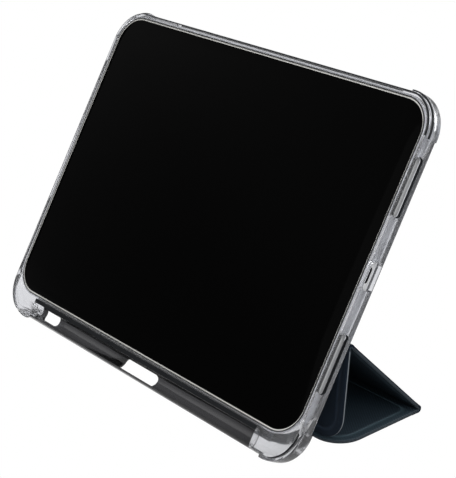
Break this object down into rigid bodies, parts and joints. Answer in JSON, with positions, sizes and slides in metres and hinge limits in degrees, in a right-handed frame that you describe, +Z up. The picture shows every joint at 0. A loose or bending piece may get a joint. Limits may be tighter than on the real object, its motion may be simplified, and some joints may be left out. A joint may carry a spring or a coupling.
{
  "type": "tablet case",
  "caption": "Folding tablet case: clear bumper shell with a stylus channel, standing in landscape on a tri-fold cover folded into a triangle behind it.",
  "frame": {"origin": "on the table, under the middle of the case's box, in the standing pose", "axes": "+X along the long edge towards the charging-port side, +Y to the back, +Z up"},
  "size_m": [0.2538, 0.1064, 0.1709],
  "materials": {
    "smoky_tpu": "clear smoky soft plastic, glossy",
    "dark_tpu": "smoky soft plastic, glossy",
    "clear_polycarbonate": "clear, polished",
    "navy_leather": "matt coated leather with a fine cross grain",
    "navy_microfibre": "brushed microfibre",
    "grey_board": "pressed board",
    "steel_strip": "rolled",
    "nickel_plate": "nickel plated",
    "bonding_film": "translucent film"
  },
  "bodies": {
    "shell": {"bumper_frame": "smoky_tpu", "stylus_channel": "dark_tpu", "back_panel": "clear_polycarbonate", "bonded_strip": "navy_leather", "strip_adhesive": "bonding_film"},
    "spine_back": {"spine_back_skin": "navy_leather", "spine_back_lining": "navy_microfibre", "bond_crease": "navy_leather"},
    "spine_edge": {"spine_edge_skin": "navy_leather", "spine_edge_lining": "navy_microfibre", "spine_edge_stiffener": "grey_board", "spine_crease": "navy_leather"},
    "near_panel": {"near_skin": "navy_leather", "near_lining": "navy_microfibre", "near_board": "grey_board", "near_crease": "navy_leather", "latch_strip": "steel_strip"},
    "middle_panel": {"middle_skin": "navy_leather", "middle_lining": "navy_microfibre", "middle_board": "grey_board", "rear_crease": "navy_leather"},
    "edge_panel": {"edge_skin": "navy_leather", "edge_lining": "navy_microfibre", "edge_board": "grey_board", "ridge_crease": "navy_leather", "latch_magnets": "nickel_plate", "wake_magnets": "nickel_plate"}
  },
  "joints": [
    {"name": "bond_fold", "type": "hinge", "parent": "shell", "child": "spine_back", "pos_m": [0, -0.04021, 0.00513], "axis": [-1, 0, 0], "range_deg": [0, 96.59]},
    {"name": "spine_fold", "type": "hinge", "parent": "spine_back", "child": "spine_edge", "pos_m": [0, -0.03157, 0.0013], "axis": [-1, 0, 0], "range_deg": [0, 113.47]},
    {"name": "cover_fold", "type": "hinge", "parent": "spine_edge", "child": "near_panel", "pos_m": [0, -0.01867, 0.0012], "axis": [-1, 0, 0], "range_deg": [0, 90.44]},
    {"name": "rear_fold", "type": "hinge", "parent": "near_panel", "child": "middle_panel", "pos_m": [0, 0.04483, 0.0012], "axis": [-1, 0, 0], "range_deg": [0, 134.86]},
    {"name": "ridge_fold", "type": "hinge", "parent": "middle_panel", "child": "edge_panel", "pos_m": [0, -0.01039, 0.05674], "axis": [-1, 0, 0], "range_deg": [0, 130.74]}
  ],
  "couplings": [
    {"joint": "rear_fold", "follows": "cover_fold", "ratio": 1.4909},
    {"joint": "ridge_fold", "follows": "cover_fold", "ratio": 1.4454}
  ]
}
